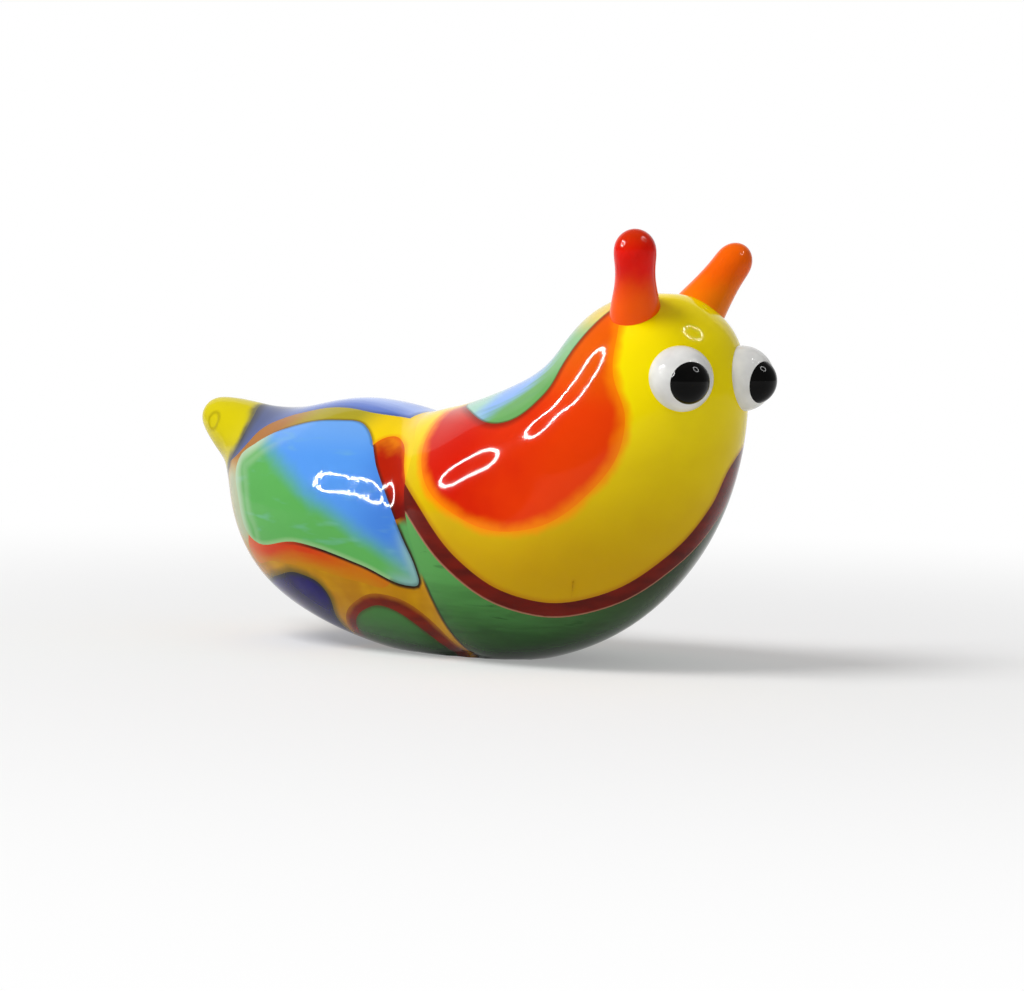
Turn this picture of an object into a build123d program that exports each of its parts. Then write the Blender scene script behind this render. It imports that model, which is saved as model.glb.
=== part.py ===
"""Snail figurine in flame-worked glass: two gathers and a foot with coloured fields melted in."""

import math
import os

from build123d import *

# Millimetres. +X points to the head, +Z up and the right flank is -Y. The flat foot rests on z = 0.

# The body's spine from the tail's end to the crown. Each ring holds where it stands in x and z,
# how many degrees the spine climbs there, and the ring's half height and half width.
tail_end = (-20.25, 12.80, -24, 0.40, 0.40)
tail_knob = (-19.75, 12.60, -25, 1.05, 1.05)
tail_neck = (-18.60, 12.10, -27, 1.60, 1.60)
tail_seat = (-16.70, 11.25, -32, 2.30, 2.30)
rump = (-14.90, 10.15, -32, 3.60, 3.60)
hip = (-13.10, 8.80, -22, 5.05, 4.95)
back = (-7.00, 7.05, 0, 6.85, 6.80)
waist = (-3.95, 6.60, 5, 7.05, 6.80)
chest = (4.35, 7.65, 28, 7.50, 7.30)
breast = (8.50, 10.25, 42, 6.90, 6.85)
neck = (11.00, 13.55, 58, 5.90, 5.80)
brow = (12.15, 18.10, 80, 4.20, 4.20)
crown = (12.20, 19.50, 86, 2.80, 2.80)
crown_top = (12.20, 20.20, 90, 0.90, 0.90)

# The coloured fields are melted in this deep.
inlay_depth = 1.1

# Fields on one flank stop this far from the middle plane, on the back and underneath.
ridge_gap = 1.2
keel_gap = 2.0

# The dark red trail round the front of the foot, across its width.
trail_width = 0.85

# Eyes: whole white beads sunk into the face, each with a black bead sunk into it.
# The black bead's size and how far out it sits are shares of the white bead's radius.
eye_radius = 1.75
eye_place = (15.30, -2.85, 15.75)
pupil_radius = 0.714 * eye_radius
pupil_offset = 0.457 * eye_radius
pupil_gaze = (0.83, -0.54, -0.12)
# The left eye was set by hand, this far from the right one's mirror image and turned by so many degrees.
left_eye_shift = (0.80, -1.10, 0.0)
left_eye_turn = -36

# Horns: rods drawn from the crown and rounded to a bulb at the end, with the radii of root, middle and bulb.
right_horn_root = (12.30, -2.75, 19.20)
right_horn_bulb = (13.35, -4.40, 22.50)
right_horn_radii = (1.45, 1.07, 1.15)
left_horn_root = (12.30, 2.75, 18.90)
left_horn_bulb = (13.60, 4.60, 22.00)
left_horn_radii = (1.50, 1.15, 1.03)
horn_sunk = 1.2

# Where the front gather begins, from above the ridge down the flank to below the foot.
crease_points = [
    (-3.4, 15.5), (-2.8, 13.6), (-0.5, 11.3), (-0.1, 9.2), (0.6, 7.0), (1.5, 4.0), (2.0, -1.0),
]

# The trail is drawn as seen from this far round the front from the right. Its middle line runs from
# the crease round the lower chest to the left cheek: along the view's horizontal, then up.
trail_view = 38.0
trail_points = [
    (-5.4, 10.9), (-4.0, 8.8), (-1.3, 5.4), (2.2, 3.5), (6.0, 3.6), (10.1, 5.9), (12.5, 8.65),
    (13.6, 10.9), (16.0, 13.5),
]

# Cutting shapes run out this far, past every side of the body.
reach = 40.0
below = -1.0


def ring_plane(ring):
    """The plane of one ring of the body, square to the spine, its first axis pointing up the ring."""
    x, z, climb = ring[:3]
    turn = math.radians(climb)
    return Plane(
        origin=(x, 0, z),
        x_dir=(-math.sin(turn), 0, math.cos(turn)),
        z_dir=(math.cos(turn), 0, math.sin(turn)),
    )


rings = [
    tail_end, tail_knob, tail_neck, tail_seat, rump, hip, back,
    waist, chest, breast, neck, brow, crown, crown_top,
]
core_rings = [rump, hip, back, waist, chest, breast, neck, brow]
right_of_ridge = Plane.XZ.offset(ridge_gap)
right_of_keel = Plane.XZ.offset(keel_gap)
view_turn = math.radians(trail_view)
quarter_plane = Plane(
    origin=(0, 0, 0),
    x_dir=(math.cos(view_turn), math.sin(view_turn), 0),
    z_dir=(math.sin(view_turn), -math.cos(view_turn), 0),
)

# Blank: the whole body as one outer shape, flat underneath. The pieces below are cut from it.
with BuildPart() as blank:
    for ring in rings:
        with BuildSketch(ring_plane(ring)):
            Ellipse(ring[3], ring[4])
    loft()
    with BuildSketch(Plane.XY):
        Rectangle(2 * reach, 2 * reach)
    extrude(amount=-reach, mode=Mode.SUBTRACT)

# Skin: the outer layer that the coloured fields are cut from.
with BuildPart() as core:
    for ring in core_rings:
        with BuildSketch(ring_plane(ring)):
            Ellipse(ring[3] - inlay_depth, ring[4] - inlay_depth)
    loft()
with BuildPart() as skin:
    add(blank.part)
    add(core.part, mode=Mode.SUBTRACT)

# Front block: everything ahead of the crease.
with BuildPart() as front_block:
    with BuildSketch(Plane.XZ):
        with BuildLine():
            crease = Spline(*crease_points)
            Polyline(crease @ 1, (reach, below), (reach, reach), (crease_points[0][0], reach), crease @ 0)
        make_face()
    extrude(amount=reach, both=True)

# Foot block: everything under the middle of the trail, cut right through along the quarter view.
with BuildPart() as foot_block:
    with BuildSketch(quarter_plane):
        with BuildLine():
            trail = Spline(*trail_points)
            Polyline(trail @ 1, (reach, reach), (reach, below), (trail_points[0][0], below), trail @ 0)
        make_face()
    extrude(amount=reach, both=True)

# Tail tip: a knob of yellow glass drawn out to the rear, beyond its seat.
with BuildPart() as tail_tip:
    with BuildSketch(ring_plane(tail_seat)):
        Rectangle(reach, reach)
    extrude(amount=-reach)
    add(blank.part, mode=Mode.INTERSECT)
tail_tip.part.label = "tail_tip"

# Foot trail: a dark red thread laid along the border of the foot and melted flat.
with BuildPart() as foot_trail:
    with BuildSketch(quarter_plane):
        with BuildLine():
            Spline(*trail_points)
        trace(line_width=trail_width)
    extrude(amount=reach, both=True)
    add(skin.part, mode=Mode.INTERSECT)
    add(front_block.part, mode=Mode.INTERSECT)
foot_trail.part.label = "foot_trail"

# Foot: green glass under the chest, from the crease to the throat.
with BuildPart() as foot:
    add(blank.part)
    add(front_block.part, mode=Mode.INTERSECT)
    add(foot_block.part, mode=Mode.INTERSECT)
    add(foot_trail.part, mode=Mode.SUBTRACT)
foot.part.label = "foot"

# Nape leaf: a turquoise field saddled over the nape, pointed at both ends.
with BuildPart() as nape_leaf:
    with BuildSketch(Plane.XZ):
        with BuildLine():
            nape_edge = Spline(
                (-0.6, 14.6), (2.4, 13.55), (6.3, 13.25), (8.3, 14.7), (9.1, 16.6), (11.2, 19.6)
            )
            Polyline(nape_edge @ 1, (11.2, reach), (-0.6, reach), nape_edge @ 0)
        make_face()
    extrude(amount=reach, both=True)
    add(skin.part, mode=Mode.INTERSECT)
nape_leaf.part.label = "nape_leaf"

# Shoulder patch: a red field on each side of the neck, under the nape leaf.
with BuildPart() as right_shoulder_patch:
    with BuildSketch(right_of_ridge):
        with BuildLine():
            patch_edge = Spline(
                (-0.6, 13.6), (0.7, 10.95), (3.6, 8.45), (7.8, 7.55), (11.8, 9.8), (13.4, 13.3),
                (12.5, 16.1), (12.0, 18.7),
            )
            Polyline(patch_edge @ 1, (11.0, 20.0), (5.0, 17.0), (0.5, 14.8), patch_edge @ 0)
        make_face()
    extrude(amount=reach)
    add(skin.part, mode=Mode.INTERSECT)
    add(front_block.part, mode=Mode.INTERSECT)
    add(nape_leaf.part, mode=Mode.SUBTRACT)
right_shoulder_patch.part.label = "right_shoulder_patch"

# Back stripe: a periwinkle field along the ridge, from the tail's seat to the crease.
with BuildPart() as back_stripe:
    with BuildSketch(Plane.XZ):
        with BuildLine():
            stripe_edge = Spline((-17.5, 10.4), (-14.2, 11.2), (-12.6, 12.7), (-8.1, 13.5), (-3.4, 13.25))
            Polyline(stripe_edge @ 1, (-3.4, reach), (-17.5, reach), stripe_edge @ 0)
        make_face()
    extrude(amount=reach, both=True)
    add(skin.part, mode=Mode.INTERSECT)
    add(tail_tip.part, mode=Mode.SUBTRACT)
back_stripe.part.label = "back_stripe"

# Flank leaf: a green and blue field on each side of the rear, with its point low and forward.
with BuildPart() as right_flank_leaf:
    with BuildSketch(right_of_ridge):
        with BuildLine():
            leaf_top = Spline((-14.3, 10.3), (-10.5, 12.25), (-7.0, 12.8), (-5.1, 12.5))
            leaf_front = Spline(leaf_top @ 1, (-2.5, 10.2), (0.1, 6.6), (0.9, 4.9))
            leaf_point = ThreePointArc(leaf_front @ 1, (0.85, 4.25), (0.3, 4.1))
            leaf_under = Spline(leaf_point @ 1, (-2.9, 5.05), (-7.3, 6.0), (-12.4, 6.0))
            Spline(leaf_under @ 1, (-13.7, 8.0), leaf_top @ 0)
        make_face()
    extrude(amount=reach)
    add(skin.part, mode=Mode.INTERSECT)
    add(front_block.part, mode=Mode.SUBTRACT)
    add(back_stripe.part, mode=Mode.SUBTRACT)
right_flank_leaf.part.label = "right_flank_leaf"

# Flank band: an orange ribbon along the underside of each flank leaf.
with BuildPart() as right_flank_band:
    with BuildSketch(right_of_ridge):
        with BuildLine():
            band_under = Spline((-12.8, 4.9), (-10.0, 4.75), (-6.5, 4.6), (-3.4, 4.1), (-1.0, 4.2))
            Polyline(band_under @ 1, (-1.0, 5.6), (-6.5, 7.0), (-11.8, 7.0), band_under @ 0)
        make_face()
    extrude(amount=reach)
    add(skin.part, mode=Mode.INTERSECT)
    add(right_flank_leaf.part, mode=Mode.SUBTRACT)
right_flank_band.part.label = "right_flank_band"

# Collar bar: a short red-brown stroke between each flank leaf and the crease.
with BuildPart() as right_collar_bar:
    with BuildSketch(right_of_ridge):
        with BuildLine():
            bar_rear = Spline((-3.0, 11.9), (-1.6, 9.6), (-0.5, 8.1))
            bar_foot = ThreePointArc(bar_rear @ 1, (0.1, 8.1), (0.2, 8.9))
            Spline(bar_foot @ 1, (-0.7, 10.4), (-1.9, 11.7), bar_rear @ 0)
        make_face()
    extrude(amount=reach)
    add(skin.part, mode=Mode.INTERSECT)
    add(front_block.part, mode=Mode.SUBTRACT)
    add(right_flank_leaf.part, mode=Mode.SUBTRACT)
right_collar_bar.part.label = "right_collar_bar"

# Navy patch: a dark blue field wrapped under the rear of the body.
with BuildPart() as navy_patch:
    with BuildSketch(Plane.XZ):
        with BuildLine():
            navy_edge = Spline(
                (-13.6, 3.0), (-10.3, 3.9), (-7.8, 4.2), (-6.1, 3.3), (-6.5, 1.6), (-7.2, below)
            )
            Polyline(navy_edge @ 1, (-13.6, below), navy_edge @ 0)
        make_face()
    extrude(amount=reach, both=True)
    add(skin.part, mode=Mode.INTERSECT)
    add(right_flank_band.part, mode=Mode.SUBTRACT)
navy_patch.part.label = "navy_patch"

# Green oval: a dark green eye low on each flank, inside a red-brown rim.
with BuildPart() as right_oval:
    with BuildSketch(right_of_keel):
        with BuildLine():
            oval_edge = Spline(
                (-6.0, below), (-5.2, 1.3), (-3.3, 2.6), (-1.7, 2.75), (-0.1, 1.7), (0.9, below)
            )
            Line(oval_edge @ 1, oval_edge @ 0)
        make_face()
    extrude(amount=reach)
    add(skin.part, mode=Mode.INTERSECT)
right_oval.part.label = "right_oval"

with BuildPart() as right_oval_rim:
    with BuildSketch(right_of_keel):
        with BuildLine():
            rim_edge = Spline(
                (-6.8, below), (-6.0, 1.3), (-3.9, 3.0), (-1.8, 3.5), (0.5, 2.6), (1.7, below)
            )
            Line(rim_edge @ 1, rim_edge @ 0)
        make_face()
    extrude(amount=reach)
    add(skin.part, mode=Mode.INTERSECT)
    add(front_block.part, mode=Mode.SUBTRACT)
    add(right_oval.part, mode=Mode.SUBTRACT)
    add(navy_patch.part, mode=Mode.SUBTRACT)
right_oval_rim.part.label = "right_oval_rim"

# Eye white and pupil: a white bead in a socket in the face, and a black bead in a socket in the white.
# Both are turned about the line of sight, from the upper half of their cross-section.
eye_centre = Vector(*eye_place)
gaze = Vector(*pupil_gaze).normalized()
eye_plane = Plane(origin=eye_centre, x_dir=gaze, z_dir=gaze.cross(Vector(0, 0, 1)))
with BuildPart() as right_eye_white:
    with BuildSketch(eye_plane):
        Circle(eye_radius)
        with Locations((pupil_offset, 0)):
            Circle(pupil_radius, mode=Mode.SUBTRACT)
        Rectangle(reach, reach, align=(Align.CENTER, Align.MAX), mode=Mode.SUBTRACT)
    revolve(axis=Axis(eye_centre, gaze))
right_eye_white.part.label = "right_eye_white"
with BuildPart() as right_pupil:
    with BuildSketch(eye_plane):
        with Locations((pupil_offset, 0)):
            Circle(pupil_radius)
        Rectangle(reach, reach, align=(Align.CENTER, Align.MAX), mode=Mode.SUBTRACT)
    revolve(axis=Axis(eye_centre, gaze))
right_pupil.part.label = "right_pupil"

# Horns: a drawn rod of glass on each side of the crown.
horns = []
for root, bulb, (root_radius, middle_radius, bulb_radius) in (
    (right_horn_root, right_horn_bulb, right_horn_radii),
    (left_horn_root, left_horn_bulb, left_horn_radii),
):
    run = Vector(*bulb) - Vector(*root)
    up = run.normalized()
    with BuildPart() as horn:
        with BuildSketch(Plane(origin=root, x_dir=up, z_dir=up.cross(Vector(0, 0, 1)))):
            with BuildLine():
                edge = Spline(
                    (-horn_sunk, root_radius),
                    (run.length / 2, middle_radius),
                    (run.length, bulb_radius),
                    tangents=[(1, 0), (1, 0)],
                )
                end = RadiusArc(edge @ 1, (run.length + bulb_radius, 0), bulb_radius)
                Polyline(end @ 1, (-horn_sunk, 0), edge @ 0)
            make_face()
        revolve(axis=Axis(root, up))
        add(blank.part, mode=Mode.SUBTRACT)
    horns.append(horn)
right_horn, left_horn = horns
right_horn.part.label = "right_horn"
left_horn.part.label = "left_horn"

# The left flank repeats the right one. The trail climbs over its shoulder patch.
with BuildPart() as left_shoulder_patch:
    mirror(right_shoulder_patch.part, about=Plane.XZ)
    add([foot_block.part, foot_trail.part], mode=Mode.SUBTRACT)
left_shoulder_patch.part.label = "left_shoulder_patch"
with BuildPart() as left_flank_leaf:
    mirror(right_flank_leaf.part, about=Plane.XZ)
left_flank_leaf.part.label = "left_flank_leaf"
with BuildPart() as left_flank_band:
    mirror(right_flank_band.part, about=Plane.XZ)
left_flank_band.part.label = "left_flank_band"
with BuildPart() as left_collar_bar:
    mirror(right_collar_bar.part, about=Plane.XZ)
left_collar_bar.part.label = "left_collar_bar"
with BuildPart() as left_oval:
    mirror(right_oval.part, about=Plane.XZ)
left_oval.part.label = "left_oval"
with BuildPart() as left_oval_rim:
    mirror(right_oval_rim.part, about=Plane.XZ)
left_oval_rim.part.label = "left_oval_rim"
left_eye_mirrored = Vector(eye_place[0], -eye_place[1], eye_place[2])
left_eye_set = Pos(left_eye_mirrored + Vector(*left_eye_shift)) * Rot(0, 0, left_eye_turn) * Pos(-left_eye_mirrored)
with BuildPart() as left_pupil:
    with Locations(left_eye_set):
        add(right_pupil.part.mirror(Plane.XZ))
left_pupil.part.label = "left_pupil"
with BuildPart() as left_eye_white:
    with Locations(left_eye_set):
        add(right_eye_white.part.mirror(Plane.XZ))
left_eye_white.part.label = "left_eye_white"

# Rear gather: amber glass behind the crease, with a bed for each field melted into it.
rear_fields = [
    tail_tip, back_stripe, navy_patch, right_flank_leaf, left_flank_leaf, right_flank_band, left_flank_band,
    right_collar_bar, left_collar_bar, right_oval, left_oval, right_oval_rim, left_oval_rim,
]
with BuildPart() as rear_gather:
    add(blank.part)
    add([front_block.part] + [field.part for field in rear_fields], mode=Mode.SUBTRACT)
rear_gather.part.label = "rear_gather"

# Front gather: the yellow chest, neck and head, with beds for its fields and sockets for the eyes.
front_fields = [
    foot_trail, nape_leaf, right_shoulder_patch, left_shoulder_patch,
    right_eye_white, left_eye_white, right_pupil, left_pupil,
]
with BuildPart() as front_gather:
    add(blank.part)
    add(front_block.part, mode=Mode.INTERSECT)
    add([foot_block.part] + [field.part for field in front_fields], mode=Mode.SUBTRACT)
front_gather.part.label = "front_gather"

os.makedirs("parts", exist_ok=True)
export_step(rear_gather.part, "parts/rear_gather.step")
export_step(front_gather.part, "parts/front_gather.step")
export_step(foot.part, "parts/foot.step")
export_step(foot_trail.part, "parts/foot_trail.step")
export_step(tail_tip.part, "parts/tail_tip.step")
export_step(back_stripe.part, "parts/back_stripe.step")
export_step(nape_leaf.part, "parts/nape_leaf.step")
export_step(navy_patch.part, "parts/navy_patch.step")
export_step(right_shoulder_patch.part, "parts/right_shoulder_patch.step")
export_step(left_shoulder_patch.part, "parts/left_shoulder_patch.step")
export_step(right_flank_leaf.part, "parts/right_flank_leaf.step")
export_step(left_flank_leaf.part, "parts/left_flank_leaf.step")
export_step(right_flank_band.part, "parts/right_flank_band.step")
export_step(left_flank_band.part, "parts/left_flank_band.step")
export_step(right_collar_bar.part, "parts/right_collar_bar.step")
export_step(left_collar_bar.part, "parts/left_collar_bar.step")
export_step(right_oval.part, "parts/right_oval.step")
export_step(left_oval.part, "parts/left_oval.step")
export_step(right_oval_rim.part, "parts/right_oval_rim.step")
export_step(left_oval_rim.part, "parts/left_oval_rim.step")
export_step(right_eye_white.part, "parts/right_eye_white.step")
export_step(left_eye_white.part, "parts/left_eye_white.step")
export_step(right_pupil.part, "parts/right_pupil.step")
export_step(left_pupil.part, "parts/left_pupil.step")
export_step(right_horn.part, "parts/right_horn.step")
export_step(left_horn.part, "parts/left_horn.step")
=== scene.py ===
import math

import bmesh
import bpy
import numpy as np
from mathutils import Matrix, Vector, kdtree


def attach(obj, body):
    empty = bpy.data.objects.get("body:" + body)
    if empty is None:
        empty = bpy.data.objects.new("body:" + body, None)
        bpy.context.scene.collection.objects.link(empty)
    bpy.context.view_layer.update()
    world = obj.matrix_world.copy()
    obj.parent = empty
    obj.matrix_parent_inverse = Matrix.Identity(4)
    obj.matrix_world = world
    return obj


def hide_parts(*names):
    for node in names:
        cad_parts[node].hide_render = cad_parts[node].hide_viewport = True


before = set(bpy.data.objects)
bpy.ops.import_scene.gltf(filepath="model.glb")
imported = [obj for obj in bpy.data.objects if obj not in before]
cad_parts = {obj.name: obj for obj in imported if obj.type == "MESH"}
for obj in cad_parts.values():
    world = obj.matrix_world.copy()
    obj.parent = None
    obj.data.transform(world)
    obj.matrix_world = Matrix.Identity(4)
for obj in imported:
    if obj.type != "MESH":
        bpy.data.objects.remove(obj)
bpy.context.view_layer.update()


# The body: one thick gather of soft glass, drawn out to a knob at the tail, bent up at the neck and pressed
# flat underneath on a graphite plate. All the coloured fields are melted flush into it, so their pieces are
# cut from this one shape.
MM = 0.001
body_rings = [  # x, z, climb in degrees, half height, half width
    (-20.25, 12.80, -24.0, 0.40, 0.40), (-20.06, 12.74, -24.5, 1.03, 1.03), (-18.00, 11.84, -27.9, 1.85, 1.86),
    (-16.72, 11.30, -32.6, 2.20, 2.19), (-15.16, 10.39, -34.1, 3.36, 3.39), (-13.92, 9.36, -27.6, 4.56, 4.49),
    (-12.27, 8.23, -16.5, 5.67, 5.55), (-10.04, 7.59, -7.4, 6.40, 6.41), (-7.51, 7.14, -0.4, 6.92, 6.94),
    (-4.83, 6.67, 3.3, 7.09, 6.87), (-2.01, 6.43, 8.8, 7.22, 6.90), (0.83, 6.61, 16.9, 7.45, 7.17),
    (3.62, 7.28, 25.8, 7.64, 7.41), (6.09, 8.42, 33.3, 7.51, 7.37), (8.24, 9.92, 40.4, 7.09, 7.06),
    (10.01, 11.73, 49.0, 6.51, 6.43), (11.23, 13.84, 59.4, 5.87, 5.76), (11.86, 16.06, 70.9, 5.25, 5.23),
    (12.11, 17.70, 78.6, 4.56, 4.55), (12.27, 18.99, 83.3, 3.65, 3.68), (12.08, 19.97, 88.5, 2.10, 2.07),
    (12.20, 20.20, 90.0, 0.91, 0.91),
]


def pick_points(piece, test):
    """Selects the points of the piece in edit mode that pass a test of their place"""
    skin = bmesh.from_edit_mesh(piece.data)
    for point in skin.verts:
        point.select_set(bool(test(point.co)))
    skin.select_flush_mode()
    bmesh.update_edit_mesh(piece.data)


def draw_out(name, rings, level, corners=24):
    """Draws a rod out of one disc, ring by ring, then bends every ring to its place and rounds the whole"""
    step, start = 0.01, 0.1
    bpy.ops.object.select_all(action="DESELECT")
    bpy.ops.mesh.primitive_circle_add(vertices=corners, radius=MM, fill_type="NGON",
                                      location=(start, 0, 0), rotation=(0, math.pi / 2, 0))
    rod = bpy.context.object
    rod.name = rod.data.name = name
    bpy.ops.object.transform_apply(location=True, rotation=True, scale=True)
    bpy.ops.object.mode_set(mode="EDIT")
    bpy.ops.mesh.select_all(action="SELECT")
    last_height = last_width = 1.0
    for number, (x, y, z, turn, climb, height, width) in enumerate(rings):
        if number:
            bpy.ops.mesh.extrude_region_move(TRANSFORM_OT_translate={"value": (step, 0, 0)})
        bpy.ops.transform.resize(value=(1, width / last_width, height / last_height),
                                 center_override=(start + step * number, 0, 0))
        last_height, last_width = height, width
    for number, (x, y, z, turn, climb, height, width) in enumerate(rings):
        along = start + step * number
        pick_points(rod, lambda place: abs(place.x - along) < 0.4 * step)
        bpy.ops.transform.rotate(value=math.radians(climb), orient_axis="Y", center_override=(along, 0, 0))
        bpy.ops.transform.rotate(value=-math.radians(turn), orient_axis="Z", center_override=(along, 0, 0))
        bpy.ops.transform.translate(value=(x * MM - along, y * MM, z * MM))
    bpy.ops.mesh.select_all(action="SELECT")
    bpy.ops.mesh.normals_make_consistent(inside=False)
    bpy.ops.object.mode_set(mode="OBJECT")
    swell = rod.modifiers.new("swell", "SUBSURF")
    swell.levels = swell.render_levels = level
    bpy.ops.object.modifier_apply(modifier="swell")
    bpy.ops.object.shade_smooth()
    return rod


body = draw_out("body", [(x, 0, z, 0, climb, height, width) for x, z, climb, height, width in body_rings], 3)


# The crease: the rear and the front of the body were two gathers, pressed together while soft. A shallow dip
# runs down each flank behind their seam, the right flank is slightly uneven from the shaping, and the seam
# itself is the first line scored in the skin.
dip_line = np.array([(-4.2, 15.0), (-3.0, 12.6), (-1.2, 10.3), (-0.4, 8.4), (0.3, 6.4), (1.1, 3.0)])
dip_depth, dip_reach = 0.26, 1.2
swells = [((-5.1, -6.25, 9.2), 0.32, 2.0), ((2.4, -6.9, 9.8), 0.32, 1.9),
          ((8.3, -6.0, 13.0), 0.28, 1.6), ((7.0, -7.05, 9.8), -0.30, 1.8)]  # place, height, reach
crease = [(-3.4, 15.5), (-2.8, 13.6), (-0.5, 11.3), (-0.1, 9.2), (0.6, 7.0), (1.5, 4.0), (2.0, -1.0)]


def press_dip(blank):
    """Presses the dip and the unevenness into the skin, and the underside flat on the plate"""
    count = len(blank.data.vertices)
    spots, ways = np.empty(count * 3), np.empty(count * 3)
    blank.data.vertices.foreach_get("co", spots)
    blank.data.vertices.foreach_get("normal", ways)
    spots, ways = spots.reshape(-1, 3), ways.reshape(-1, 3)
    behind = np.interp(spots[:, 2] / MM, dip_line[::-1, 1], dip_line[::-1, 0]) - spots[:, 0] / MM
    depth = dip_depth * np.exp(-(behind / dip_reach) ** 2) * (spots[:, 2] > 0)
    for place, height, reach in swells:
        away = np.linalg.norm(spots - np.array(place) * MM, axis=1) / MM
        depth -= height * np.exp(-(away / reach) ** 2 / 2)
    spots = spots - ways * depth[:, None] * MM
    blank.data.vertices.foreach_set("co", spots.ravel())
    blank.data.update()
    bpy.ops.object.mode_set(mode="EDIT")
    pick_points(blank, lambda place: place.z < 0)
    bpy.ops.transform.resize(value=(1, 1, 0), center_override=(0, 0, 0))
    bpy.ops.object.mode_set(mode="OBJECT")


def score(blank, line, closed=False, lead=(0, -9, 0), sweep=(0, 18, 0)):
    """Scores the blank's skin along a smooth line in x and z, swept sideways, and returns the line's points"""
    curve = bpy.data.curves.new("line", "CURVE")
    curve.dimensions = "3D"
    curve.resolution_u = 10
    bend = curve.splines.new("BEZIER")
    bend.bezier_points.add(len(line) - 1)
    bend.use_cyclic_u = closed
    for knot, spot in zip(bend.bezier_points, line):
        knot.co = (spot[0] * MM, 0, spot[1] * MM)
        knot.handle_left_type = knot.handle_right_type = "VECTOR" if len(spot) > 2 else "AUTO"
    blade = bpy.data.objects.new("blade", curve)
    bpy.context.collection.objects.link(blade)
    bpy.ops.object.select_all(action="DESELECT")
    blade.select_set(True)
    bpy.context.view_layer.objects.active = blade
    bpy.ops.object.convert(target="MESH")
    outline = np.array([(point.co.x, point.co.z) for point in blade.data.vertices]) / MM
    if not blank.data.materials:
        blank.data.materials.append(bpy.data.materials.new("skin"))
    blade.data.materials.append(bpy.data.materials.new("blade"))
    bpy.ops.object.mode_set(mode="EDIT")
    bpy.ops.mesh.select_all(action="SELECT")
    bpy.ops.transform.translate(value=[size * MM for size in lead])
    bpy.ops.mesh.extrude_edges_move(TRANSFORM_OT_translate={"value": [size * MM for size in sweep]})
    bpy.ops.object.mode_set(mode="OBJECT")
    blank.select_set(True)
    bpy.context.view_layer.objects.active = blank
    bpy.ops.object.join()
    bpy.ops.object.mode_set(mode="EDIT")
    for cut in (True, False):
        skin = bmesh.from_edit_mesh(blank.data)
        for face in skin.faces:
            face.select_set(face.material_index == 1)
        bmesh.update_edit_mesh(blank.data)
        if cut:
            bpy.ops.mesh.intersect(mode="SELECT_UNSELECT", separate_mode="NONE", solver="EXACT")
    bpy.ops.mesh.delete(type="FACE")
    bpy.ops.object.mode_set(mode="OBJECT")
    blank.data.materials.pop(index=1)
    return outline


def inside(outline, x, z):
    """Tells which of many places in x and z lie inside a closed outline"""
    hit = np.zeros(len(x), bool)
    for (x0, z0), (x1, z1) in zip(outline, np.roll(outline, -1, axis=0)):
        if z0 != z1:
            hit ^= ((z0 > z) != (z1 > z)) & (x < x0 + (x1 - x0) * (z - z0) / (z1 - z0))
    return hit


def middles(blank):
    """Gives the middles of the blank's faces in millimetres: x, y and z"""
    spots = np.empty(len(blank.data.polygons) * 3)
    blank.data.polygons.foreach_get("center", spots)
    return spots.reshape(-1, 3).T / MM


def lift(blank, name, chosen):
    """Lifts the chosen faces off the blank as a piece of its own"""
    bpy.ops.object.select_all(action="DESELECT")
    blank.select_set(True)
    bpy.context.view_layer.objects.active = blank
    bpy.ops.object.mode_set(mode="EDIT")
    bpy.ops.mesh.select_mode(type="FACE")
    skin = bmesh.from_edit_mesh(blank.data)
    for face, wanted in zip(skin.faces, chosen):
        face.select_set(bool(wanted))
    bmesh.update_edit_mesh(blank.data)
    bpy.ops.mesh.separate(type="SELECTED")
    bpy.ops.mesh.select_mode(type="VERT")
    bpy.ops.object.mode_set(mode="OBJECT")
    piece = [other for other in bpy.context.selected_objects if other is not blank][0]
    piece.name = piece.data.name = name
    return piece


press_dip(body)
form = body.copy()
form.data = body.data.copy()
form.name = form.data.name = "form"
bpy.context.collection.objects.link(form)
crease_line = score(body, crease)
x, y, z = middles(body)
front_gather = lift(body, "yellow_front", inside(np.vstack([crease_line, [(30, -1), (30, 30), (-3.4, 30)]]), x, z))
rear_gather = body
rear_gather.name = rear_gather.data.name = "amber_rear"
fields = {}  # the pieces by kind, for the borders that they melt into


# The foot: a green gather wraps the underside of the chest. Its upper border is drawn as the quarter view
# shows it, and runs on over the left cheek. The glass is streaky, with painted shade low under the belly.
quarter = math.radians(38)
trail_width = 0.85
trail_middle = np.array([(-5.4, 10.9), (-4.0, 8.8), (-1.3, 5.4), (2.2, 3.5), (6.0, 3.6), (10.1, 5.9),
                         (12.5, 8.65), (13.6, 10.9), (16.0, 13.5)])
trail_way = np.gradient(trail_middle, axis=0)
trail_way /= np.linalg.norm(trail_way, axis=1)[:, None]
trail_side = np.column_stack([-trail_way[:, 1], trail_way[:, 0]]) * trail_width / 2
foot_line = [tuple(place) for place in trail_middle - trail_side]
trail_line = [tuple(place) for place in trail_middle + trail_side]


def quarter_field(line):
    """Scores a line of the quarter view right through the front and tells which faces lie below it"""
    depth = Vector((math.sin(quarter), -math.cos(quarter), 0)) * 60
    outline = score(front_gather, [(across / math.cos(quarter), height) for across, height in line],
                    lead=-depth / 2, sweep=depth)
    x, y, z = middles(front_gather)
    return inside(np.vstack([outline, [(60, 40), (60, -5), (-20, -5)]]), x + y * math.tan(quarter), z)


def linear(red, green, blue):
    """Turns a colour as a screen shows it, 0 to 255, into the light that Blender mixes"""
    return [((part / 255 + 0.055) / 1.055) ** 2.4 if part > 10.3 else part / 255 / 12.92
            for part in (red, green, blue)] + [1]


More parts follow.
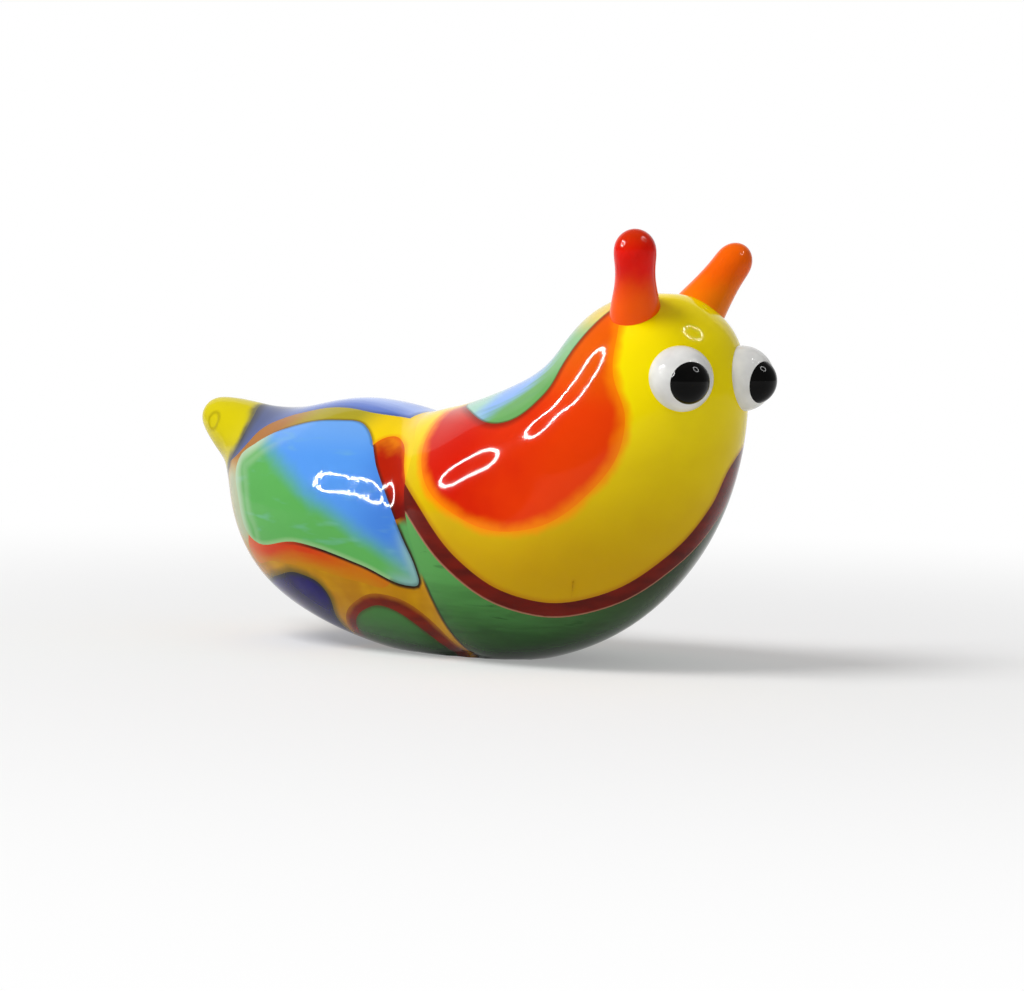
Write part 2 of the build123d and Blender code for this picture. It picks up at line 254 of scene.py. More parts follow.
def wire(glass, kind, *values, **settings):
    """Adds a node to a glass, sets it up, and gives its sockets values or plugs other sockets into them"""
    node = glass.node_tree.nodes.new("ShaderNode" + kind)
    for name, value in settings.items():
        setattr(node, name, value)
    for socket, value in zip(node.inputs, values):
        if isinstance(value, bpy.types.NodeSocket):
            glass.node_tree.links.new(value, socket)
        elif value is not None:
            socket.default_value = value
    return node


def new_glass(name):
    """Starts a glass with its places on the piece in millimetres, and gives it with x, y and z"""
    glass = bpy.data.materials.new(name)
    glass.use_nodes = True
    place = wire(glass, "Mapping", wire(glass, "TexCoord").outputs["Object"])
    place.name = "place"
    place.inputs["Scale"].default_value = (1000, 1000, 1000)
    x, y, z = wire(glass, "SeparateXYZ", place.outputs[0]).outputs
    return glass, x, wire(glass, "Math", y, operation="ABSOLUTE").outputs[0], z


def math_of(glass, operation, first, second):
    return wire(glass, "Math", first, second, operation=operation).outputs[0]


def times(glass, first, second):
    return math_of(glass, "MULTIPLY", first, second)


def ease(glass, value, low, high, start=0.0, end=1.0):
    """Lets a share rise or fall softly from start to end while the value goes from low to high"""
    return wire(glass, "MapRange", value, low, high, start, end, interpolation_type="SMOOTHSTEP").outputs[0]


def blend(glass, share, first, second):
    """Blends two colours of glass by a share"""
    node = wire(glass, "Mix", data_type="RGBA")
    for socket, value in zip((node.inputs["Factor"], node.inputs[6], node.inputs[7]), (share, first, second)):
        if isinstance(value, bpy.types.NodeSocket):
            glass.node_tree.links.new(value, socket)
        else:
            socket.default_value = value
    return node.outputs[2]


def swirl(glass, size, stretch=(1, 1, 1), turn=(0, 0, 0), detail=2.0, warp=0.0):
    """Swirls in the glass, -0.5 to 0.5, of a size in millimetres, stretched and turned as it was drawn out"""
    place = wire(glass, "Mapping", glass.node_tree.nodes["place"].outputs[0])
    place.inputs["Rotation"].default_value = [math.radians(angle) for angle in turn]
    place.inputs["Scale"].default_value = [1 / (size * reach) for reach in stretch]
    noise = wire(glass, "TexNoise", place.outputs[0])
    noise.inputs["Scale"].default_value = 1
    noise.inputs["Detail"].default_value = detail
    noise.inputs["Distortion"].default_value = warp
    return math_of(glass, "SUBTRACT", noise.outputs[0], 0.5)


def border(glass, kind, wave=0.0):
    """The distance in millimetres to the border with another field, made a little wavy"""
    distance = wire(glass, "Attribute", attribute_name="from_" + kind).outputs["Fac"]
    if wave:
        distance = math_of(glass, "ADD", distance, times(glass, swirl(glass, 1.1), wave))
    return distance


def finish_glass(glass, colour, rough=0.05, waves=0.012, gloss=0.10, ripple=0.0, mark=None):
    """Gives the glass its colour, and a fire-polished skin that is almost, but not quite, even"""
    shader = glass.node_tree.nodes["Principled BSDF"]
    glass.node_tree.links.new(colour, shader.inputs["Base Color"])
    shader.inputs["IOR"].default_value = 1.5
    shader.inputs["Specular IOR Level"].default_value = gloss
    shine = swirl(glass, 1.7, detail=3)
    glass.node_tree.links.new(ease(glass, shine, -0.3, 0.3, rough, rough + 0.05), shader.inputs["Roughness"])
    bump = wire(glass, "Bump")
    bump.inputs["Strength"].default_value = 1.0
    bump.inputs["Distance"].default_value = waves * MM
    height = swirl(glass, 2.2, detail=1)
    if ripple:
        fine = swirl(glass, 0.45, stretch=(1, 1, 2.5), detail=1)
        height = math_of(glass, "ADD", height, times(glass, fine, ripple))
    if mark:
        height = math_of(glass, "ADD", height, times(glass, mark, 3.0))
    glass.node_tree.links.new(height, bump.inputs["Height"])
    glass.node_tree.links.new(bump.outputs[0], shader.inputs["Normal"])


def fit(piece, kind, glass, node):
    """Lays the glass on a finished field, hangs it under the root body and hides the node's part that it stands for"""
    piece.data.materials.clear()
    piece.data.materials.append(glass)
    fields.setdefault(kind, []).append(piece)
    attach(piece, "root")
    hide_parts(node)


foot = lift(front_gather, "green_foot", quarter_field(foot_line))
glass, x, y, z = new_glass("foot_green_glass")
streak = swirl(glass, 1.0, stretch=(3.5, 3.5, 0.55), turn=(0, 24, 0), detail=3, warp=0.6)
# painted shade: the green darkens low down under the belly and turns greyer towards the front
colour = blend(glass, ease(glass, math_of(glass, "ADD", z, times(glass, streak, 2.5)), 1.0, 5.5),
               linear(38, 78, 30), linear(88, 158, 80))
colour = blend(glass, ease(glass, x, 6.0, 13.0), colour, linear(52, 68, 42))
colour = blend(glass, ease(glass, streak, 0.10, 0.24, 0, 0.75), colour, linear(30, 70, 26))
seam = times(glass, ease(glass, border(glass, "rear"), 0.02, 0.2, 0.85, 0), ease(glass, z, 4.0, 5.0, 1, 0))
colour = blend(glass, seam, colour, linear(36, 40, 14))
finish_glass(glass, colour)
fit(foot, "foot", glass, "foot")


# The trail: a dark red-brown thread laid along the border of the foot and melted flush. Its lower edge has
# drawn out to a thin pale line.
foot_trail = lift(front_gather, "trail_thread", quarter_field(trail_line))
glass, x, y, z = new_glass("trail_glass")
streak = swirl(glass, 0.6, stretch=(4, 4, 1), detail=2)
colour = blend(glass, ease(glass, streak, -0.25, 0.25), linear(86, 12, 2), linear(116, 20, 3))
colour = blend(glass, ease(glass, border(glass, "foot"), 0.05, 0.16, 0.8, 0), colour, linear(176, 122, 96))
finish_glass(glass, colour)
fit(foot_trail, "trail", glass, "foot_trail")


# The nape leaf: a field laid over the nape from the crown down to the middle of the back, green on its sides
# and blue along the ridge, paler on the ridge itself from a painted reflection, with the fine dark streaks of a drawn
# strip and a painted shadow where it meets the red.
nape_line = score(front_gather, [(-0.9, 15.5), (-0.6, 14.6), (2.4, 13.55), (6.3, 13.25), (8.3, 14.7),
                                 (9.1, 16.6), (11.2, 19.6, 1), (11.2, 22.0, 1)])
x, y, z = middles(front_gather)
nape_leaf = lift(front_gather, "nape_field", inside(nape_line, x, z))
glass, x, y, z = new_glass("nape_glass")
streak = swirl(glass, 0.9, stretch=(9, 0.5, 4), turn=(0, 30, 0), detail=2)
ridge = math_of(glass, "ADD", y, times(glass, x, 0.36))
ridge = math_of(glass, "ADD", ridge, times(glass, streak, 2.0))
colour = blend(glass, ease(glass, ridge, 5.7, 7.2), linear(134, 176, 242), linear(106, 168, 92))
# painted reflection: the glass pales to near white along the ridge
colour = blend(glass, ease(glass, y, 0.4, 2.0), linear(216, 226, 248), colour)
colour = blend(glass, ease(glass, math_of(glass, "ADD", x, streak), 2.4, 4.4, 0.85, 0), colour, linear(166, 214, 178))
colour = blend(glass, ease(glass, z, 15.0, 17.4, 0, 0.75), colour, linear(150, 198, 148))
colour = blend(glass, ease(glass, z, 17.6, 19.2), colour, linear(232, 206, 104))
colour = blend(glass, ease(glass, streak, 0.0, 0.3, 0, 0.16), colour, linear(70, 110, 130))
# painted shadow: a dark brown edge along the border with the red patch
colour = blend(glass, ease(glass, border(glass, "patch"), 0.02, 0.16, 0.8, 0), colour, linear(84, 50, 18))
colour = blend(glass, ease(glass, border(glass, "front"), 0.0, 1.3, 1, 0), colour, linear(250, 222, 4))
finish_glass(glass, colour)
fit(nape_leaf, "nape", glass, "nape_leaf")


# The shoulder patches: a red field melted into each side of the neck, orange where it thins out towards the
# horn, with a faint pink painted reflection where it runs out over the ridge, painted shade along the nape leaf, and a
# soft border in the yellow.
ridge_gap = 1.2
patch_line = score(front_gather, [(-0.6, 13.6), (0.7, 10.95), (3.6, 8.45), (7.8, 7.55), (11.8, 9.8), (13.4, 13.3),
                                  (12.5, 16.1), (12.0, 18.7), (11.0, 20.0), (9.5, 21.5)])
for side in (-1, 1):
    score(front_gather, [(-3.0, 11.0), (-3.0, 17.0)], lead=(0, side * ridge_gap, 0), sweep=(6, 0, 0))
patch_outline = np.vstack([patch_line, [(5.0, 21.5), (-0.6, 15.5)]])
glass, x, y, z = new_glass("shoulder_red_glass")
cloud = swirl(glass, 3.0, detail=2, warp=0.4)
colour = blend(glass, ease(glass, math_of(glass, "ADD", x, times(glass, cloud, 6.0)), 2.0, 11.5),
               linear(210, 26, 0), linear(232, 60, 0))
colour = blend(glass, ease(glass, math_of(glass, "ADD", z, cloud), 13.6, 17.4), colour, linear(230, 92, 0))
# painted reflection: a faint pink sheen on the upper rear of the patch, towards the ridge
pink_painted_reflection = times(glass, ease(glass, x, 1.6, 3.4, 1, 0), ease(glass, z, 12.9, 13.6))
colour = blend(glass, times(glass, pink_painted_reflection, 0.25), colour, linear(222, 110, 84))
colour = blend(glass, ease(glass, border(glass, "front", 0.5), 0.0, 0.75, 1, 0), colour, linear(248, 126, 0))
# painted shade: the red darkens along the border with the nape leaf
colour = blend(glass, ease(glass, border(glass, "nape"), 0.02, 0.5, 0.7, 0), colour, linear(120, 22, 0))
end = times(glass, ease(glass, y, 1.3, 2.8, 1, 0), ease(glass, x, 1.0, 3.0, 1, 0))
colour = blend(glass, end, colour, linear(252, 220, 2))
finish_glass(glass, colour)
for hand, side in (("right", -1), ("left", 1)):
    x, y, z = middles(front_gather)
    patch = lift(front_gather, hand + "_red_field", inside(patch_outline, x, z) & (side * y > ridge_gap))
    fit(patch, "patch", glass, hand + "_shoulder_patch")


# The front gather: the opaque yellow glass of the chest, neck and head, with painted shade deepening it to ochre
# low on the chest, and orange where it meets the red.
glass, x, y, z = new_glass("front_yellow_glass")
cloud = swirl(glass, 4.0, detail=2, warp=0.5)
height = math_of(glass, "ADD", z, times(glass, cloud, 3.0))
# painted shade: the yellow darkens to ochre towards the bottom
colour = blend(glass, ease(glass, height, 4.5, 16.5), linear(204, 160, 0), linear(252, 228, 0))
melt = times(glass, ease(glass, border(glass, "patch", 0.4), 0.0, 0.55, 0.9, 0), ease(glass, y, 1.2, 2.6))
colour = blend(glass, melt, colour, linear(250, 150, 0))
colour = blend(glass, ease(glass, border(glass, "trail"), 0.0, 0.4, 0.8, 0), colour, linear(186, 122, 0))
finish_glass(glass, colour)
fit(front_gather, "front", glass, "front_gather")


# The tail tip: the yellow end of the drawn-out tail, nipped off the rod and rounded in the flame, with painted
# shade darkening it low down. It turns grey where it meets the body.
tail_line = score(rear_gather, [(-18.2, 6.5), (-16.6, 9.0), (-15.8, 10.2), (-15.2, 11.1), (-15.1, 11.9), (-15.3, 12.6),
                                (-15.8, 13.15), (-16.6, 14.0), (-17.6, 15.5)])
x, y, z = middles(rear_gather)
tail_tip = lift(rear_gather, "tail_knob", inside(np.vstack([tail_line, [(-30, 15.5), (-30, 7)]]), x, z))
glass, x, y, z = new_glass("tail_yellow_glass")
cloud = swirl(glass, 1.6, detail=2, warp=0.4)
# painted shade: the yellow darkens to olive low down
colour = blend(glass, ease(glass, math_of(glass, "ADD", z, times(glass, cloud, 2.0)), 8.8, 11.8),
               linear(178, 162, 2), linear(212, 196, 2))
for kind in ("back", "rear"):
    colour = blend(glass, ease(glass, border(glass, kind, 0.7), 0.0, 0.7, 0.9, 0), colour, linear(86, 84, 72))
spot = wire(glass, "VectorMath", glass.node_tree.nodes["place"].outputs[0], (-18.52, -1.59, 12.22),
            operation="DISTANCE").outputs["Value"]
lip = times(glass, ease(glass, spot, 0.3, 0.5), ease(glass, spot, 0.5, 0.75, 0.5, 0))
colour = blend(glass, lip, colour, linear(150, 132, 0))
finish_glass(glass, colour, mark=ease(glass, spot, 0.3, 0.6))
fit(tail_tip, "tail", glass, "tail_tip")


# The back stripe: a periwinkle field along the ridge of the rear, from the tail to the crease, with a painted
# reflection making it pale on top.
stripe_line = score(rear_gather, [(-17.5, 9.6), (-15.2, 10.3), (-14.3, 11.0), (-13.5, 12.0), (-12.3, 12.6),
                                  (-10.8, 13.0), (-8.1, 13.4), (-5.2, 13.15), (-3.4, 12.95)])
x, y, z = middles(rear_gather)
back_stripe = lift(rear_gather, "back_field", inside(np.vstack([stripe_line, [(-3.4, 20), (-17.5, 20)]]), x, z))
glass, x, y, z = new_glass("back_periwinkle_glass")
streak = swirl(glass, 0.8, stretch=(6, 0.8, 2), detail=2)
ridge = math_of(glass, "ADD", y, times(glass, streak, 1.2))
# painted reflection: pale along the ridge, deepening to periwinkle down the sides
colour = blend(glass, ease(glass, ridge, 0.5, 2.2), linear(168, 190, 248), linear(88, 118, 200))
colour = blend(glass, ease(glass, x, -14.5, -9.5), linear(72, 84, 130), colour)
colour = blend(glass, ease(glass, border(glass, "rear"), 0.05, 0.5, 0.7, 0), colour, linear(74, 92, 150))
colour = blend(glass, ease(glass, border(glass, "tail"), 0.0, 0.8, 0.9, 0), colour, linear(70, 70, 74))
finish_glass(glass, colour)
fit(back_stripe, "back", glass, "back_stripe")


# The flank leaves: a large field on each side of the rear, green towards the tail and blue towards the crease,
# drawn to a pale point low at the front. Clear glass thins its rear edge, and a dark line runs round its front.
leaf_line = score(rear_gather, [(-14.6, 10.1), (-13.2, 11.2), (-10.7, 12.2), (-7.0, 12.75), (-5.1, 12.5), (-2.5, 10.2), (0.1, 6.6),
                                (0.9, 4.9), (0.85, 4.25), (0.3, 4.1), (-2.9, 5.05), (-7.3, 6.0), (-12.4, 6.0),
                                (-13.7, 8.0)], closed=True)
glass, x, y, z = new_glass("leaf_glass")
cloud = swirl(glass, 2.6, detail=2.5, warp=0.6)
streak = swirl(glass, 0.8, stretch=(3.5, 3.5, 0.8), turn=(0, 48, 0), detail=2)
slope = math_of(glass, "ADD", z, times(glass, x, 0.5))
slope = math_of(glass, "ADD", slope, times(glass, cloud, 0.8))
blue = ease(glass, slope, 4.4, 6.3)
colour = blend(glass, blue, linear(92, 172, 86), linear(84, 150, 232))
# painted reflection: a light blue sheen towards the upper edge
colour = blend(glass, ease(glass, z, 10.6, 12.8, 0, 0.4), colour, linear(134, 182, 236))
low = times(glass, ease(glass, x, -4.6, -1.2, 0, 0.7), blue)
colour = blend(glass, low, colour, linear(62, 118, 208))
colour = blend(glass, ease(glass, streak, 0.06, 0.26, 0, 0.28), colour, linear(124, 186, 190))
edge = border(glass, "rear")
tip = ease(glass, math_of(glass, "SUBTRACT", x, times(glass, z, 0.35)), -3.6, -1.2)
pale = times(glass, tip, ease(glass, edge, 0.2, 0.8, 0.9, 0.35))
colour = blend(glass, pale, colour, linear(136, 182, 178))
tail_end = ease(glass, x, -13.0, -11.4, 1, 0)
colour = blend(glass, times(glass, tail_end, ease(glass, edge, 0.0, 1.2, 0.8, 0)), colour,
               linear(186, 206, 176))
# painted reflection: a pale band just inside the rear and upper edges, towards the tail
painted_sheen_arc = times(glass, ease(glass, edge, 0.8, 1.2), ease(glass, edge, 1.2, 1.9, 0.3, 0))
colour = blend(glass, times(glass, ease(glass, x, -12.6, -9.5, 1, 0), painted_sheen_arc), colour, linear(176, 206, 170))
colour = blend(glass, ease(glass, border(glass, "band"), 0.04, 0.34, 0.7, 0), colour, linear(156, 196, 140))
outline = times(glass, ease(glass, edge, 0.0, 0.22, 0.5, 0), ease(glass, x, -12.4, -10.6))
colour = blend(glass, outline, colour, linear(46, 60, 58))
finish_glass(glass, colour, waves=0.04, ripple=0.35)
for hand, side in (("right", -1), ("left", 1)):
    x, y, z = middles(rear_gather)
    leaf = lift(rear_gather, hand + "_leaf_field", inside(leaf_line, x, z) & (side * y > ridge_gap))
    fit(leaf, "leaf", glass, hand + "_flank_leaf")


# The flank bands: a ribbon under each leaf, orange-red along the leaf and thinning to amber below it.
band_line = score(rear_gather, [(-11.8, 7.0), (-12.8, 4.9), (-10.0, 4.75), (-6.5, 4.6), (-3.4, 4.1), (-1.0, 4.2),
                                (-1.0, 5.6)])
band_outline = np.vstack([band_line, [(-6.5, 7.0)]])
glass, x, y, z = new_glass("band_orange_glass")
streak = swirl(glass, 0.7, stretch=(5, 5, 0.8), turn=(0, -6, 0), detail=2)
down = math_of(glass, "ADD", border(glass, "leaf"), times(glass, streak, 0.7))
colour = blend(glass, ease(glass, down, 0.25, 1.3), linear(206, 58, 2), linear(196, 130, 0))
colour = blend(glass, ease(glass, x, -7.0, -2.5, 0, 0.7), colour, linear(196, 126, 0))
colour = blend(glass, ease(glass, x, -12.6, -10.2, 0.5, 0), colour, linear(228, 112, 50))
line = ease(glass, border(glass, "leaf"), 0.08, 0.24, 1, 0)
colour = blend(glass, times(glass, line, ease(glass, x, -10.0, -5.5)), colour, linear(44, 20, 4))
finish_glass(glass, colour)
for hand, side in (("right", -1), ("left", 1)):
    x, y, z = middles(rear_gather)
    band = lift(rear_gather, hand + "_orange_band", inside(band_outline, x, z) & (side * y > ridge_gap))
    fit(band, "band", glass, hand + "_flank_band")


# The collar bars: a short red-brown stroke in front of each leaf, orange and blurred at its upper end.
bar_line = score(rear_gather, [(-3.6, 11.7), (-2.6, 9.6), (-1.4, 7.9), (-0.2, 7.8), (0.2, 8.9), (-0.7, 10.4),
                               (-1.9, 11.7)], closed=True)
glass, x, y, z = new_glass("collar_glass")
cloud = swirl(glass, 0.9, detail=2)
height = math_of(glass, "ADD", z, cloud)
colour = blend(glass, ease(glass, height, 8.2, 9.6), linear(112, 12, 4), linear(178, 28, 0))
colour = blend(glass, ease(glass, height, 10.9, 12.2), colour, linear(236, 130, 0))
blur = times(glass, ease(glass, border(glass, "rear", 0.3), 0.0, 0.32, 0.8, 0), ease(glass, z, 8.8, 10.2))
colour = blend(glass, blur, colour, linear(222, 92, 0))
colour = blend(glass, ease(glass, border(glass, "leaf"), 0.03, 0.24, 0.8, 0), colour, linear(64, 26, 16))
finish_glass(glass, colour)
for hand, side in (("right", -1), ("left", 1)):
    x, y, z = middles(rear_gather)
    bar = lift(rear_gather, hand + "_collar_stroke", inside(bar_line, x, z) & (side * y > ridge_gap))
    fit(bar, "bar", glass, hand + "_collar_bar")


# The navy patch: a dark blue field under the rear, from one side to the other, blurred into the amber.
navy_line = score(rear_gather, [(-13.6, 3.0), (-10.3, 3.9), (-7.8, 4.2), (-6.1, 3.3), (-6.5, 1.6), (-7.2, -1.0)])
x, y, z = middles(rear_gather)
navy_patch = lift(rear_gather, "navy_field", inside(np.vstack([navy_line, [(-13.6, -1.0)]]), x, z))
glass, x, y, z = new_glass("navy_glass")
cloud = swirl(glass, 2.4, detail=2, warp=0.4)
colour = blend(glass, ease(glass, cloud, -0.2, 0.25), linear(12, 6, 66), linear(26, 14, 104))
colour = blend(glass, ease(glass, x, -11.0, -8.8, 0.25, 0), colour, linear(50, 50, 126))
for kind in ("rear", "band"):
    colour = blend(glass, ease(glass, border(glass, kind, 0.3), 0.0, 0.35, 0.9, 0), colour, linear(40, 40, 34))
finish_glass(glass, colour)
fit(navy_patch, "navy", glass, "navy_patch")


# The ovals: a dark green oval low on each side of the rear, with painted shade darkening it towards the bottom.
keel_gap = 2.0
oval_line = score(rear_gather, [(-6.0, -1.0), (-5.2, 1.3), (-3.3, 2.6), (-1.7, 2.75), (-0.1, 1.7), (0.9, -1.0)])
for side in (-1, 1):
    score(rear_gather, [(-8.0, -1.0), (-8.0, 1.0)], lead=(0, side * keel_gap, 0), sweep=(10.5, 0, 0))
glass, x, y, z = new_glass("oval_green_glass")
streak = swirl(glass, 0.8, stretch=(3.5, 3.5, 0.7), turn=(0, 20, 0), detail=2)
height = math_of(glass, "ADD", z, times(glass, streak, 1.2))
# painted shade: the green darkens towards the bottom
colour = blend(glass, ease(glass, height, 0.2, 2.4), linear(36, 72, 28), linear(66, 122, 58))
colour = blend(glass, ease(glass, border(glass, "rim", 0.2), 0.0, 0.3, 0.8, 0), colour, linear(70, 62, 26))
finish_glass(glass, colour)
for hand, side in (("right", -1), ("left", 1)):
    x, y, z = middles(rear_gather)
    oval = lift(rear_gather, hand + "_green_oval", inside(oval_line, x, z) & (side * y > keel_gap))
    fit(oval, "oval", glass, hand + "_oval")


# The oval rims: a red-brown thread laid round each oval and blurred outwards into the amber.
rim_line = score(rear_gather, [(-6.8, -1.0), (-6.0, 1.3), (-3.9, 3.0), (-1.8, 3.5), (0.5, 2.6), (1.7, -1.0)])
glass, x, y, z = new_glass("rim_glass")
streak = swirl(glass, 0.6, stretch=(4, 4, 1), detail=2)
colour = blend(glass, ease(glass, streak, -0.25, 0.25), linear(96, 18, 2), linear(130, 30, 2))
colour = blend(glass, ease(glass, border(glass, "rear", 0.3), 0.0, 0.4, 0.9, 0), colour, linear(168, 98, 4))
finish_glass(glass, colour)
for hand, side in (("right", -1), ("left", 1)):
    x, y, z = middles(rear_gather)
    rim = lift(rear_gather, hand + "_oval_thread", inside(rim_line, x, z) & (side * y > keel_gap))
    fit(rim, "rim", glass, hand + "_oval_rim")


# The rear gather: the amber glass that shows round the fields of the rear, as a yellow collar along the crease,
# an olive line above each leaf and amber strips under it.
glass, x, y, z = new_glass("rear_amber_glass")
cloud = swirl(glass, 2.2, detail=2, warp=0.5)
streak = swirl(glass, 0.6, stretch=(5, 5, 0.8), detail=2)
amber = blend(glass, ease(glass, math_of(glass, "ADD", cloud, times(glass, streak, 0.35)), -0.2, 0.25),
              linear(184, 124, 0), linear(204, 148, 0))
upper = ease(glass, math_of(glass, "ADD", z, cloud), 5.6, 7.4)
colour = blend(glass, upper, amber, linear(243, 206, 0))
gold = times(glass, ease(glass, x, -6.4, -4.0, 1, 0), upper)
colour = blend(glass, gold, colour, linear(172, 158, 28))
brown = times(glass, ease(glass, x, -12.0, -8.5, 1, 0), upper)
colour = blend(glass, brown, colour, linear(168, 104, 14))
under = times(glass, ease(glass, x, -14.4, -12.6, 1, 0), ease(glass, z, 9.4, 10.6, 1, 0))
colour = blend(glass, under, colour, amber)
behind = times(glass, ease(glass, x, -13.0, -11.8, 0.9, 0), ease(glass, z, 5.0, 6.2))
behind = times(glass, behind, ease(glass, z, 9.0, 10.4, 1, 0))
behind = times(glass, behind, ease(glass, border(glass, "leaf", 0.8), 0.6, 2.8, 1, 0))
colour = blend(glass, behind, colour, linear(176, 190, 156))
colour = blend(glass, ease(glass, border(glass, "tail", 0.4), 0.0, 0.6, 0.9, 0), colour, linear(66, 66, 58))
colour = blend(glass, ease(glass, border(glass, "navy", 0.3), 0.0, 0.6, 0.85, 0), colour, linear(96, 84, 22))
waist = times(glass, ease(glass, z, 7.6, 8.2, 1, 0), ease(glass, z, 4.2, 5.0))
waist = times(glass, waist, ease(glass, x, -1.2, -0.6))
colour = blend(glass, waist, colour, linear(84, 152, 80))
lined = times(glass, ease(glass, border(glass, "leaf"), 0.0, 0.24, 0.7, 0), ease(glass, x, -12.6, -11.0))
colour = blend(glass, lined, colour, linear(96, 62, 14))
lined = times(glass, ease(glass, border(glass, "leaf"), 0.08, 0.3, 0.95, 0), ease(glass, z, 6.6, 8.6, 1, 0))
lined = times(glass, lined, ease(glass, x, -11.0, -8.0))
colour = blend(glass, lined, colour, linear(34, 20, 6))
seam = math_of(glass, "SUBTRACT", 1.0, waist)
seam = times(glass, seam, ease(glass, border(glass, "foot"), 0.02, 0.24, 0.9, 0))
colour = blend(glass, seam, colour, linear(52, 34, 8))
colour = blend(glass, ease(glass, border(glass, "bar", 0.3), 0.0, 0.4, 0.8, 0), colour, linear(240, 160, 0))
knot = times(glass, ease(glass, z, 8.4, 9.0, 1, 0), ease(glass, z, 7.3, 7.9))
knot = times(glass, knot, ease(glass, x, -1.2, -0.6))
colour = blend(glass, knot, colour, linear(110, 16, 4))
finish_glass(glass, colour)
fit(rear_gather, "rear", glass, "rear_gather")


# Melting together: each field remembers how far it is from its neighbours, gets its depth into the body, and
# keeps the even skin that the whole body had before it was scored.
inlay_depth, gather_depth = 1.1, 1.6


def rim_points(piece):
    """Gives the points along the open rim of a field, close together"""
    skin = bmesh.new()
    skin.from_mesh(piece.data)
    spots = [edge.verts[0].co.lerp(edge.verts[1].co, part / 4)
             for edge in skin.edges if edge.is_boundary for part in range(4)]
    skin.free()
    return spots


def tree_of(spots):
    tree = kdtree.KDTree(len(spots))
    for number, spot in enumerate(spots):
        tree.insert(spot, number)
    tree.balance()
    return tree


rims = {kind: [spot for piece in pieces for spot in rim_points(piece)] for kind, pieces in fields.items()}
rim_trees = {kind: tree_of(spots) for kind, spots in rims.items()}
for kind, pieces in fields.items():
    for piece in pieces:
        own_rim = rim_points(piece)
        for other in fields:
            shared = [] if other == kind else [spot for spot in own_rim if rim_trees[other].find(spot)[2] < 0.005 * MM]
            if len(shared) > 3:
                near = tree_of(shared)
                gap = piece.data.attributes.new("from_" + other, "FLOAT", "POINT")
                gap.data.foreach_set("value", [near.find(point.co)[2] / MM for point in piece.data.vertices])
        own = sorted(name for name in piece.data.attributes.keys() if name.startswith("from_"))
        for other in fields:
            if other != kind and "from_" + other not in own:
                far = piece.data.attributes.new("from_" + other, "FLOAT", "POINT")
                far.data.foreach_set("value", [50.0] * len(piece.data.vertices))

for kind, pieces in fields.items():
    for piece in pieces:
        bpy.ops.object.select_all(action="DESELECT")
        piece.select_set(True)
        bpy.context.view_layer.objects.active = piece
        if kind == "tail":
            bpy.ops.object.mode_set(mode="EDIT")
            bpy.ops.mesh.select_all(action="DESELECT")
            bpy.ops.mesh.select_mode(type="EDGE")
            bpy.ops.mesh.select_non_manifold()
            bpy.ops.mesh.edge_face_add()
            bpy.ops.mesh.select_mode(type="VERT")
            bpy.ops.object.mode_set(mode="OBJECT")
        else:
            piece.vertex_groups.new(name="inner")
            depth = piece.modifiers.new("depth", "SOLIDIFY")
            depth.thickness = (gather_depth if kind in ("front", "rear") else inlay_depth) * MM
            depth.offset = -1
            depth.shell_vertex_group = "inner"
            bpy.ops.object.modifier_apply(modifier="depth")
        bpy.ops.object.shade_smooth_by_angle(angle=math.radians(50))
        even = piece.modifiers.new("even", "DATA_TRANSFER")
        even.object = form
        even.use_loop_data = True
        even.data_types_loops = {"CUSTOM_NORMAL"}
        even.loop_mapping = "POLYINTERP_NEAREST"
        if kind != "tail":
            even.vertex_group = "inner"
            even.invert_vertex_group = True
        bpy.ops.object.modifier_apply(modifier="even")
bpy.data.objects.remove(form)


# The eyes: a dot of white opal glass pressed onto each side of the face and left standing proud, so that it
# bulges, with a black dot for the pupil melted into its front.
eye_radius, pupil_radius, pupil_offset = 1.75, 1.25, 0.80


def dot(name, centre, gaze, radius, bulge):
    """Melts a ball onto the work: a round bead, flattened or drawn along its gaze"""
    bpy.ops.object.select_all(action="DESELECT")
    bpy.ops.mesh.primitive_uv_sphere_add(segments=48, ring_count=32, radius=radius * MM)
    bead = bpy.context.object
    bead.name = bead.data.name = name
    bpy.ops.object.mode_set(mode="EDIT")
    bpy.ops.mesh.select_all(action="SELECT")
    bpy.ops.transform.resize(value=(1, 1, bulge), center_override=(0, 0, 0))
    bpy.ops.object.mode_set(mode="OBJECT")
    bead.rotation_euler = Vector(gaze).to_track_quat("Z", "X").to_euler()
    bead.location = Vector(centre) * MM
    bpy.ops.object.transform_apply(location=True, rotation=True, scale=True)
    bpy.ops.object.shade_smooth()
    return bead


def tie(piece, glass, node):
    """Lays the glass on a bead or horn, hangs it under the root body and hides the node's part that it stands for"""
    piece.data.materials.append(glass)
    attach(piece, "root")
    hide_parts(node)


white_glass, x, y, z = new_glass("eye_white_glass")
cloud = swirl(white_glass, 1.2, detail=2)
colour = blend(white_glass, ease(white_glass, cloud, -0.3, 0.3), linear(212, 212, 210), linear(234, 234, 230))
colour = blend(white_glass, ease(white_glass, math_of(white_glass, "SUBTRACT", x, times(white_glass, y, -0.5)),
                                 14.9, 16.2, 0.45, 0), colour, linear(206, 200, 176))
finish_glass(white_glass, colour)
black_glass, x, y, z = new_glass("pupil_black_glass")
colour = blend(black_glass, ease(black_glass, swirl(black_glass, 0.8), -0.3, 0.3), linear(2, 2, 2), linear(8, 7, 6))
finish_glass(black_glass, colour)
for hand, centre, gaze in (("right", (15.30, -2.85, 15.75), (0.83, -0.54, -0.12)),
                           ("left", (16.10, 1.75, 15.75), (0.99, -0.05, -0.12))):
    centre, gaze = Vector(centre), Vector(gaze).normalized()
    white = dot(hand + "_eye_bead", centre, gaze, eye_radius, 1.0)
    tie(white, white_glass, hand + "_eye_white")
    pupil = dot(hand + "_pupil_bead", centre + gaze * pupil_offset, gaze, pupil_radius, 0.98)
    tie(pupil, black_glass, hand + "_pupil")
